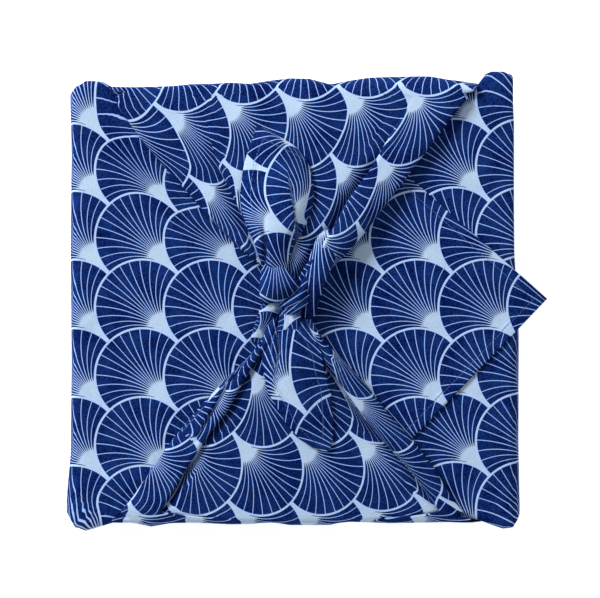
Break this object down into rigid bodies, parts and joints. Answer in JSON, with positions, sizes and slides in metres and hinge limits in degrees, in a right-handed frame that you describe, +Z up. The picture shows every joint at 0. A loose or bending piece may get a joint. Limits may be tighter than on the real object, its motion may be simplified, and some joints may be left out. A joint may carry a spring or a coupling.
{
  "type": "furoshiki wrap on a flat box",
  "caption": "Square cotton wrapping cloth folded round a flat box and tied on top in a square knot, its free corners spread either side.",
  "frame": {"origin": "middle of the wrap's flat underside, on the surface it rests on", "axes": "+Z up through the knot, +Y towards the back tied flap and the upper free corner, +X towards the loose corner of the plain flap"},
  "size_m": [0.3145, 0.2938, 0.0613],
  "materials": {
    "cloth": "navy plain-weave cotton with a pale printed fan repeat",
    "box": "plain matt card"
  },
  "bodies": {
    "root": {"cloth": "cloth", "box": "box"}
  },
  "joints": []
}
